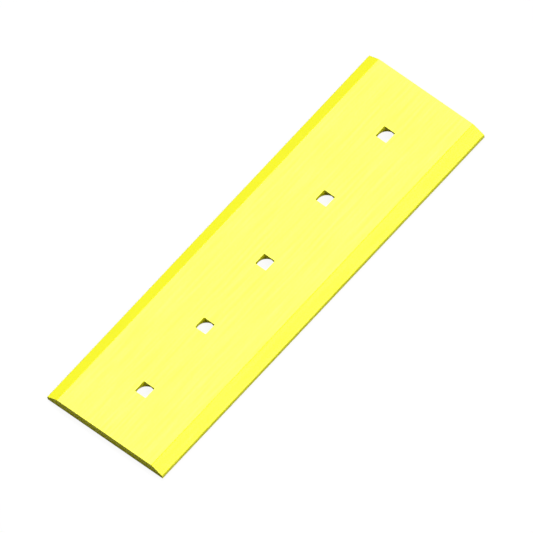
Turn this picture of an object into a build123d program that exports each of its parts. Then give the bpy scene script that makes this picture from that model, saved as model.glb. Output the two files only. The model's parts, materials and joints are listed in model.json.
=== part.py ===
from build123d import *
import math
import os

# Bolt-on cutting edge for an earthmover's bucket or blade, in millimetres.
# It lies on its wear face: X runs along the edge, Y from lip to lip and +Z up through the plate.
# The origin is the middle of the wear face.

# Rolled plate
edge_width = 250.0
plate_thickness = 20.0
corner_radius = 1.0

# Bevels along both long sides of the seat face
bevel_angle = 28.0
lip_height = 8.0

# Row of plow bolt holes, and the plate past the outer ones
bolt_count = 5
bolt_pitch = 152.4
end_distance = 103.2
end_break = 0.5

# Square neck in the seat face
neck_side = 23.0
neck_corner_radius = 1.2
neck_depth = 4.0

# Round seat and pocket for the bolt's head, in the wear face
head_diameter = 35.0
seat_angle = 80.0
mouth_break = 0.5

# Worked out from the sizes above
edge_length = (bolt_count - 1) * bolt_pitch + 2 * end_distance
half_width = edge_width / 2
bevel_run = (plate_thickness - lip_height) / math.tan(math.radians(bevel_angle))
head_radius = head_diameter / 2
seat_slope = math.tan(math.radians(seat_angle / 2))
seat_tip_z = plate_thickness - neck_depth + neck_side / 2 / seat_slope
seat_foot_z = seat_tip_z - head_radius / seat_slope

os.makedirs("parts", exist_ok=True)

# The space that one bolt takes in the plate
with BuildPart() as bolt_space:
    # Half section of the head's pocket: flared mouth, straight wall, conical seat
    with BuildSketch(Plane.XZ):
        with BuildLine():
            Polyline(
                (0, 0),
                (head_radius + mouth_break, 0),
                (head_radius, mouth_break),
                (head_radius, seat_foot_z),
                (0, seat_tip_z),
                close=True,
            )
        make_face()
    revolve(axis=Axis.Z)
    # The square neck is punched right through, and the tip of the cone is lost in it
    with BuildSketch(Plane.XY):
        RectangleRounded(neck_side, neck_side, neck_corner_radius)
    extrude(amount=plate_thickness)

with BuildPart() as cutting_edge:
    # The rolled section, with a bevel and a blunt lip on each side
    with BuildSketch(Plane.YZ.offset(-edge_length / 2)) as rolled_section:
        with BuildLine():
            Polyline(
                (-half_width, 0),
                (half_width, 0),
                (half_width, lip_height),
                (half_width - bevel_run, plate_thickness),
                (bevel_run - half_width, plate_thickness),
                (-half_width, lip_height),
                close=True,
            )
        make_face()
        fillet(rolled_section.vertices(), radius=corner_radius)
    extrude(amount=edge_length)

    # The cut ends have their sharp edges taken off
    cut_ends = cutting_edge.faces().filter_by(Axis.X)
    chamfer(cut_ends.edges(), length=end_break)

    # One row of bolt holes along the middle
    with GridLocations(bolt_pitch, 0, bolt_count, 1):
        add(bolt_space.part, mode=Mode.SUBTRACT)

cutting_edge.part.label = "cutting_edge"
export_step(cutting_edge.part, "parts/cutting_edge.step")
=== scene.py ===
import json
import math

import bmesh
import bpy
from mathutils import Matrix, Quaternion, Vector


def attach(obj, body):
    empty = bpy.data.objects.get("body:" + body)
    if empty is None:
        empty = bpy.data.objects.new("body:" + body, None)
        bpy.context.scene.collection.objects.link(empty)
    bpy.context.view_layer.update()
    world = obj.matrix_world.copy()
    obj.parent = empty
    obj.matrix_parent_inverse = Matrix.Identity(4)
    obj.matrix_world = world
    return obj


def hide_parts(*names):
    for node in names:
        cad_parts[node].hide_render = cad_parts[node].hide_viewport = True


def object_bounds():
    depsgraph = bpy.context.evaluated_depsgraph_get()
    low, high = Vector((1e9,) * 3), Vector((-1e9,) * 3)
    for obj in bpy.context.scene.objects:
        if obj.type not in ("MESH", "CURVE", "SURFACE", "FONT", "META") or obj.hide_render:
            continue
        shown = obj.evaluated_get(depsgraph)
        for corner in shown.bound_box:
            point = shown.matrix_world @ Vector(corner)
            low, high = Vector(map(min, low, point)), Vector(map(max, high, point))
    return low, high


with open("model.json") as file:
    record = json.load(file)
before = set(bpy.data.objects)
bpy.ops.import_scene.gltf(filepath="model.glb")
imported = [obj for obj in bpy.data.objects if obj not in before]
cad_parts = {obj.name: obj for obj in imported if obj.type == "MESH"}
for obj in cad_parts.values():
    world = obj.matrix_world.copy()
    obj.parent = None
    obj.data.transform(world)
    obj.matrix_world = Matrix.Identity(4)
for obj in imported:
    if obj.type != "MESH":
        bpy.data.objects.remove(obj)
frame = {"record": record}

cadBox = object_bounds()
low, high = cadBox
print("frame loaded")


def mm(value):
    return value / 1000


def linear(hexCode):  # sRGB hex to the linear colour that Blender works in
    parts = [int(hexCode[i:i + 2], 16) / 255 for i in (0, 2, 4)]
    return [p / 12.92 if p <= 0.04045 else ((p + 0.055) / 1.055) ** 2.4 for p in parts] + [1.0]


# Modelling helpers: one object in edit mode, its faces or edges picked by their place

def deselectAll():
    bpy.ops.object.select_all(action="DESELECT")


def makeActive(obj):
    deselectAll()
    obj.select_set(True)
    bpy.context.view_layer.objects.active = obj


def pick(obj, kind, test):  # call it in edit mode; kind is "faces" or "edges"
    bpy.ops.mesh.select_mode(type="FACE" if kind == "faces" else "EDGE")
    bpy.ops.mesh.select_all(action="DESELECT")
    mesh = bmesh.from_edit_mesh(obj.data)
    for part in getattr(mesh, kind):
        if test(part):
            part.select_set(True)
    bmesh.update_edit_mesh(obj.data)


def roundEdges(obj, test, radius, segments):
    pick(obj, "edges", test)
    bpy.ops.mesh.bevel(offset=radius, offset_type="OFFSET", segments=segments, profile=0.5, affect="EDGES")


def addBlock(name, lowCorner, highCorner):
    deselectAll()
    size = [b - a for a, b in zip(lowCorner, highCorner)]
    middle = [(a + b) / 2 for a, b in zip(lowCorner, highCorner)]
    bpy.ops.mesh.primitive_cube_add(size=1, location=middle, scale=size)
    obj = bpy.context.object
    obj.name = name
    bpy.ops.object.transform_apply(location=True, rotation=True, scale=True)
    return obj


def subtract(target, cutter, places):  # the cutter is modelled at x = 0, and each place gets a copy
    for x in places:
        copy = cutter.copy()
        copy.data = cutter.data.copy()
        copy.data.transform(Matrix.Translation((x, 0, 0)))
        bpy.context.collection.objects.link(copy)
        makeActive(target)
        cut = target.modifiers.new("bolt hole", "BOOLEAN")
        cut.operation = "DIFFERENCE"
        cut.solver = "EXACT"
        cut.object = copy
        bpy.ops.object.modifier_apply(modifier=cut.name)
        bpy.data.objects.remove(copy)
    bpy.data.objects.remove(cutter)


# The plate: a rolled flat with two bevels, cut to length and punched

plate = {
    "lipHeight": mm(8),
    "bevelAngle": 28,  # degrees
    "cornerRadius": mm(1),
    "endRound": mm(0.5),
    "neckSide": mm(23),
    "neckCorner": mm(1.2),
    "neckDepth": mm(4),
    "neckMouthRound": mm(0.3),
    "seatAngle": 80,
    "headMouthRound": mm(0.5),
    "headSteps": 96,
}

pockets = [m for m in frame["record"]["mounts"] if m["kind"] == "bore"]
boltPlaces = [m["pos_m"][0] for m in pockets]
headRadius = mm(pockets[0]["dims"]["r_mm"])


def rollSection():
    # The lips first, then the bevels drawn up and in from them
    lipTop = low.z + plate["lipHeight"]
    obj = addBlock("edge_plate", low, (high.x, high.y, lipTop))
    rise = high.z - lipTop
    run = rise / math.tan(math.radians(plate["bevelAngle"]))
    bpy.ops.object.mode_set(mode="EDIT")
    pick(obj, "faces", lambda f: f.normal.z > 0.9)
    bpy.ops.mesh.extrude_region_move(TRANSFORM_OT_translate={"value": (0, 0, rise)})
    bpy.ops.transform.resize(value=(1, 1 - 2 * run / (high.y - low.y), 1))
    # Each cut end is one flat face, so the line across it at the lips' height goes
    def onCutEnd(edge):
        return all(abs(abs(v.co.x) - high.x) < mm(0.01) for v in edge.verts)
    def crossesEnd(edge):
        a, b = (v.co for v in edge.verts)
        return onCutEnd(edge) and abs(a.y - b.y) > mm(1) and abs(a.z - lipTop) + abs(b.z - lipTop) < mm(0.01)
    pick(obj, "edges", crossesEnd)
    bpy.ops.mesh.dissolve_edges(use_verts=False)
    # A bar comes off the rolls with its long corners rounded, and the saw leaves small ones
    def runsAlong(edge):
        a, b = (v.co for v in edge.verts)
        return abs(a.x - b.x) > (high.x - low.x) / 2
    roundEdges(obj, runsAlong, plate["cornerRadius"], 4)
    roundEdges(obj, onCutEnd, plate["endRound"], 3)
    bpy.ops.object.mode_set(mode="OBJECT")
    return obj


def punchNecks(obj):
    half = plate["neckSide"] / 2
    spare = mm(2)
    cutter = addBlock("neck cutter", (-half, -half, low.z - spare), (half, half, high.z + spare))
    bpy.ops.object.mode_set(mode="EDIT")
    def standsUp(edge):
        a, b = (v.co for v in edge.verts)
        return abs(a.z - b.z) > mm(1)
    roundEdges(cutter, standsUp, plate["neckCorner"], 5)
    bpy.ops.object.mode_set(mode="OBJECT")
    subtract(obj, cutter, boltPlaces)


def sinkHeads(obj):
    slope = math.tan(math.radians(plate["seatAngle"] / 2))
    neckHalf = plate["neckSide"] / 2
    tipZ = high.z - plate["neckDepth"] + neckHalf / slope
    footZ = tipZ - headRadius / slope
    endRadius = neckHalf / 2  # the cone ends inside the punched neck
    spare = mm(2)
    deselectAll()
    depth = footZ - low.z + spare
    bpy.ops.mesh.primitive_cylinder_add(
        vertices=plate["headSteps"], radius=headRadius, depth=depth, location=(0, 0, footZ - depth / 2)
    )
    cutter = bpy.context.object
    bpy.ops.object.transform_apply(location=True, rotation=True, scale=True)
    bpy.ops.object.mode_set(mode="EDIT")
    pick(cutter, "faces", lambda f: f.normal.z > 0.9)
    bpy.ops.mesh.extrude_region_move(
        TRANSFORM_OT_translate={"value": (0, 0, (headRadius - endRadius) / slope)}
    )
    shrink = endRadius / headRadius
    bpy.ops.transform.resize(value=(shrink, shrink, 1))
    bpy.ops.object.mode_set(mode="OBJECT")
    subtract(obj, cutter, boltPlaces)


def easeMouths(obj):
    # The punch draws the plate down a little round each neck, and the drill leaves a small break
    neckReach = plate["neckSide"] / 2 + mm(0.1)
    def nearBolt(point):
        return min(boltPlaces, key=lambda x: abs(x - point.x))
    def onNeckMouth(edge):
        return all(
            abs(v.co.z - high.z) < mm(0.01)
            and max(abs(v.co.x - nearBolt(v.co)), abs(v.co.y)) < neckReach
            for v in edge.verts
        )
    def onHeadMouth(edge):
        return all(
            abs(v.co.z - low.z) < mm(0.01)
            and math.hypot(v.co.x - nearBolt(v.co), v.co.y) < headRadius + mm(0.1)
            for v in edge.verts
        )
    makeActive(obj)
    bpy.ops.object.mode_set(mode="EDIT")
    roundEdges(obj, onNeckMouth, plate["neckMouthRound"], 3)
    roundEdges(obj, onHeadMouth, plate["headMouthRound"], 3)
    bpy.ops.mesh.select_all(action="SELECT")
    bpy.ops.mesh.remove_doubles(threshold=mm(0.002))
    bpy.ops.mesh.normals_make_consistent(inside=False)
    bpy.ops.object.mode_set(mode="OBJECT")
    for v in obj.data.vertices:  # the rounding swells a few hundredths of a millimetre where two rounds meet
        v.co.y = min(max(v.co.y, low.y), high.y)
        v.co.z = min(max(v.co.z, low.z), high.z)


def smooth(obj):
    makeActive(obj)
    bpy.ops.object.shade_smooth_by_angle(angle=math.radians(26))
    weighted = obj.modifiers.new("flat faces stay flat", "WEIGHTED_NORMAL")
    weighted.weight = 100
    weighted.keep_sharp = True
    bpy.ops.object.modifier_apply(modifier=weighted.name)


edgePlate = rollSection()
punchNecks(edgePlate)
sinkHeads(edgePlate)
easeMouths(edgePlate)
smooth(edgePlate)
print("plate modelled,", len(edgePlate.data.polygons), "faces")


# Materials

def addNode(tree, kind, settings=None, links=None):  # inputs go by name or number, and other settings by name
    node = tree.nodes.new(kind)
    for name, value in (settings or {}).items():
        if isinstance(name, int) or name in node.inputs:
            node.inputs[name].default_value = value
        else:
            setattr(node, name, value)
    for name, socket in (links or {}).items():
        tree.links.new(socket, node.inputs[name])
    return node


enamel = {
    "full": ("FFFF14", "FAF80F"),  # the coat where it lies thick and a little thinner
    "painted_hole_shade": ("E8E613", "D8D410"),  # darker than the full coat, as painted shade in the bolt holes
    "patchSize": mm(70),
    "peelSize": mm(6), "peelDepth": mm(0.12),  # real orange peel is 1 to 3 mm apart, drawn coarser so that it shows
}

steel = {  # what the coat lies on: fine lines with their spacing, depth and stretch, and the sheen that they leave it
    "rolled": {  # along the rolling direction
        "coat": "full", "roughness": (0.315, 0.385), "specular": 0.3,
        "spacing": mm(5), "depth": mm(0.04), "stretch": (0.05, 1, 1),
    },
    "sawn": {  # down the cut ends, which drink the paint and dry duller
        "coat": "full", "roughness": (0.5, 0.6), "specular": 0.2,
        "spacing": mm(2.5), "depth": mm(0.15), "stretch": (1, 1, 0.05),
    },
    "punched": {  # down the walls of the bolt holes, under a darker coat that is painted shade
        "coat": "painted_hole_shade", "roughness": (0.45, 0.55), "specular": 0.25,
        "spacing": mm(1.5), "depth": mm(0.15), "stretch": (1, 1, 0.08),
    },
}


def makeEnamel(name, lines):
    # Alkyd enamel sprayed on steel plate: an even lemon yellow with a satin sheen, a faint orange peel,
    # and under it the lines that the rolls, the saw or the punch left in the steel; in the bolt holes the yellow is
    # darker, as painted shade.
    material = bpy.data.materials.new(name)
    material.use_nodes = True
    tree = material.node_tree
    tree.nodes.clear()
    place = addNode(tree, "ShaderNodeTexCoord").outputs["Object"]
    drawn = addNode(tree, "ShaderNodeMapping", {"Scale": lines["stretch"]}, {"Vector": place})
    patches = addNode(
        tree, "ShaderNodeTexNoise",
        {"Scale": 1 / enamel["patchSize"], "Detail": 3.0, "Roughness": 0.55}, {"Vector": place},
    )
    peel = addNode(
        tree, "ShaderNodeTexNoise",
        {"Scale": 1 / enamel["peelSize"], "Detail": 1.0, "Roughness": 0.4}, {"Vector": place},
    )
    marks = addNode(
        tree, "ShaderNodeTexNoise",
        {"Scale": 1 / lines["spacing"], "Detail": 3.0, "Roughness": 0.6}, {"Vector": drawn.outputs["Vector"]},
    )
    thick, thin = enamel[lines["coat"]]
    colour = addNode(
        tree, "ShaderNodeMix", {"data_type": "RGBA", 6: linear(thin), 7: linear(thick)}, {0: patches.outputs["Fac"]},
    )
    roughness = addNode(
        tree, "ShaderNodeMapRange",
        {"From Min": 0.3, "From Max": 0.7, "To Min": lines["roughness"][0], "To Max": lines["roughness"][1]},
        {"Value": marks.outputs["Fac"]},
    )
    markBump = addNode(
        tree, "ShaderNodeBump", {"Strength": 1.0, "Distance": lines["depth"]}, {"Height": marks.outputs["Fac"]},
    )
    peelBump = addNode(
        tree, "ShaderNodeBump", {"Strength": 1.0, "Distance": enamel["peelDepth"]},
        {"Height": peel.outputs["Fac"], "Normal": markBump.outputs["Normal"]},
    )
    paint = addNode(
        tree, "ShaderNodeBsdfPrincipled",
        {"Metallic": 0.0, "IOR": 1.5, "Specular IOR Level": lines["specular"]},
        {"Base Color": colour.outputs[2], "Roughness": roughness.outputs["Result"], "Normal": peelBump.outputs["Normal"]},
    )
    addNode(tree, "ShaderNodeOutputMaterial", None, {"Surface": paint.outputs["BSDF"]})
    return material


def coatPlate(obj):
    # Rolled faces take the first material, cut ends the second and the bolt holes' walls the third, whose darker yellow
    # is painted shade
    obj.data.materials.clear()
    for surface, lines in steel.items():
        obj.data.materials.append(makeEnamel("lemon_enamel_on_" + surface + "_steel", lines))
    for face in obj.data.polygons:
        middle, normal = face.center, face.normal
        fromBolt = min(math.hypot(middle.x - x, middle.y) for x in boltPlaces)
        if abs(middle.x) > high.x - mm(0.4) and abs(normal.x) > 0.9:
            face.material_index = 1
        elif fromBolt < headRadius + mm(0.1) and low.z + mm(0.5) < middle.z < high.z - mm(0.5):
            # the hole walls get the darker coat: painted shade in the holes
            face.material_index = 2
        else:
            face.material_index = 0


coatPlate(edgePlate)
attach(edgePlate, "root")
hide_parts("cutting_edge")
print("enamel laid on")


# Studio

studio = {
    "floorSize": 6.0,
    "floorGlow": 0.92,  # how much of the floor's white is its own, seen by the camera only
    "floorGrey": "646464",
    "skyStrength": 0.08,
    "key": {"direction": (0.29, 0.42, 0.86), "strength": 2.0, "spread": 22},
    "fill": {"direction": (0.04, -0.6, 0.799), "strength": 1.26, "spread": 16},
    "strip": {"direction": (0.332, -0.487, 0.807), "strength": 0.6, "spread": 12},  # its sheen is on the near bevel
}


def layFloor():
    # The camera sees a white floor with the plate's pale shadow, polished things see it as it is lit,
    # and all other rays meet a grey one, so that little light comes back up under the plate.
    deselectAll()
    bpy.ops.mesh.primitive_plane_add(size=studio["floorSize"], location=(0, 0, low.z - mm(0.1)))
    floor = bpy.context.object
    floor.name = "floor"
    material = bpy.data.materials.new("pale_studio_floor")
    material.use_nodes = True
    tree = material.node_tree
    tree.nodes.clear()
    rays = addNode(tree, "ShaderNodeLightPath")
    mirrored = addNode(
        tree, "ShaderNodeMath", {"operation": "MAXIMUM"},
        {0: rays.outputs["Is Glossy Ray"], 1: rays.outputs["Is Transmission Ray"]},
    )
    white = addNode(tree, "ShaderNodeBsdfDiffuse", {"Color": linear("FFFFFF")})
    grey = addNode(tree, "ShaderNodeBsdfDiffuse", {"Color": linear(studio["floorGrey"])})
    glow = addNode(tree, "ShaderNodeEmission", {"Color": linear("FFFFFF"), "Strength": 1.0})
    pale = addNode(tree, "ShaderNodeMixShader", {"Fac": studio["floorGlow"]}, {1: white.outputs[0], 2: glow.outputs[0]})
    lit = addNode(tree, "ShaderNodeMixShader", None, {"Fac": mirrored.outputs[0], 1: grey.outputs[0], 2: white.outputs[0]})
    both = addNode(
        tree, "ShaderNodeMixShader", None,
        {"Fac": rays.outputs["Is Camera Ray"], 1: lit.outputs[0], 2: pale.outputs[0]},
    )
    addNode(tree, "ShaderNodeOutputMaterial", None, {"Surface": both.outputs[0]})
    floor.data.materials.append(material)


def paintSky():
    # White where the camera, a mirror or glass sees it, and dim as a light
    sky = bpy.data.worlds.new("studio_sky")
    bpy.context.scene.world = sky
    sky.use_nodes = True
    tree = sky.node_tree
    tree.nodes.clear()
    rays = addNode(tree, "ShaderNodeLightPath")
    mirrored = addNode(
        tree, "ShaderNodeMath", {"operation": "MAXIMUM"},
        {0: rays.outputs["Is Glossy Ray"], 1: rays.outputs["Is Transmission Ray"]},
    )
    seen = addNode(tree, "ShaderNodeMath", {"operation": "MAXIMUM"}, {0: mirrored.outputs[0], 1: rays.outputs["Is Camera Ray"]})
    dim = addNode(tree, "ShaderNodeBackground", {"Color": linear("FFFFFF"), "Strength": studio["skyStrength"]})
    white = addNode(tree, "ShaderNodeBackground", {"Color": linear("FFFFFF"), "Strength": 1.0})
    both = addNode(tree, "ShaderNodeMixShader", None, {"Fac": seen.outputs[0], 1: dim.outputs[0], 2: white.outputs[0]})
    addNode(tree, "ShaderNodeOutputWorld", None, {"Surface": both.outputs[0]})


def hangSoftbox(name, box):
    deselectAll()
    bpy.ops.object.light_add(type="SUN", location=Vector(box["direction"]) * 3)
    lamp = bpy.context.object
    lamp.name = name
    lamp.data.energy = box["strength"]
    lamp.data.angle = math.radians(box["spread"])
    lamp.rotation_mode = "QUATERNION"
    lamp.rotation_quaternion = Vector(box["direction"]).to_track_quat("Z", "Y")


layFloor()
paintSky()
hangSoftbox("key_softbox", studio["key"])
hangSoftbox("fill_softbox", studio["fill"])
hangSoftbox("strip_softbox", studio["strip"])
print("studio lit")


# Camera: the photo is a parallel projection, so its scale and the place of the plate's middle are in pixels

photo = {
    "azimuth": -39.98, "elevation": 58.88, "roll": -11.0,  # degrees
    "side": 533, "pixelsPerMm": 0.6097,
    "plateMiddle": (265.69, 267.74),
    "distance": 2.0,
}


def placeCamera():
    around, above = math.radians(photo["azimuth"]), math.radians(photo["elevation"])
    back = Vector((math.sin(around) * math.cos(above), -math.cos(around) * math.cos(above), math.sin(above)))
    turn = (-back).to_track_quat("-Z", "Y") @ Quaternion((0, 0, 1), math.radians(photo["roll"]))
    right, up = turn @ Vector((1, 0, 0)), turn @ Vector((0, 1, 0))
    metresPerPixel = mm(1 / photo["pixelsPerMm"])
    centre = (photo["side"] - 1) / 2
    plateX, plateY = photo["plateMiddle"]
    middle = Vector(((low.x + high.x) / 2, (low.y + high.y) / 2, low.z))
    aim = middle + right * (centre - plateX) * metresPerPixel + up * (plateY - centre) * metresPerPixel
    data = bpy.data.cameras.new("photo_camera")
    data.type = "ORTHO"
    data.ortho_scale = photo["side"] * metresPerPixel
    camera = bpy.data.objects.new("photo_camera", data)
    bpy.context.collection.objects.link(camera)
    camera.rotation_mode = "QUATERNION"
    camera.rotation_quaternion = turn
    camera.location = aim + back * photo["distance"]
    bpy.context.scene.camera = camera


placeCamera()
bpy.context.scene.view_settings.view_transform = "Standard"
print("camera placed")
